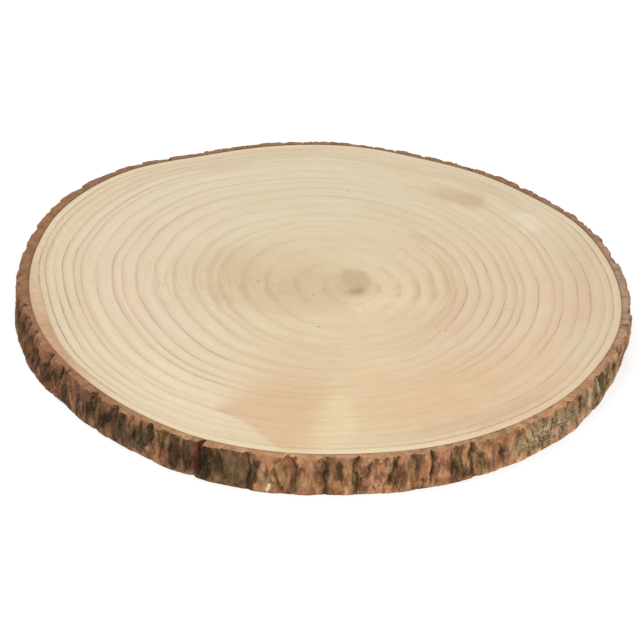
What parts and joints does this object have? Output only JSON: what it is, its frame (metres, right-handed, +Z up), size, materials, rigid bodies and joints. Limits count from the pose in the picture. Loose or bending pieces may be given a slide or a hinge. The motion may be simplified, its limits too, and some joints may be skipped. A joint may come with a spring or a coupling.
{
  "type": "wood slice",
  "caption": "Thin round slice sawn across a tree trunk, flat on both faces, with its furrowed bark still on all round the edge.",
  "frame": {"origin": "centre of the bounding box on the sawn underside, which rests on the surface; the pith is about 21 mm to +X and 12 mm to -Y of it", "axes": "+Z up, along the trunk and square to both sawn faces; -Y towards the side of the slice that is nearest in the picture"},
  "size_m": [0.3556, 0.352, 0.02],
  "materials": {
    "wood": "pale sawn and sanded end grain, dry and matt",
    "bark": "rough dry bark, reddish brown where it is broken and grey-olive where it is weathered"
  },
  "bodies": {
    "root": {"wood": "wood", "bark": "bark"}
  },
  "joints": []
}
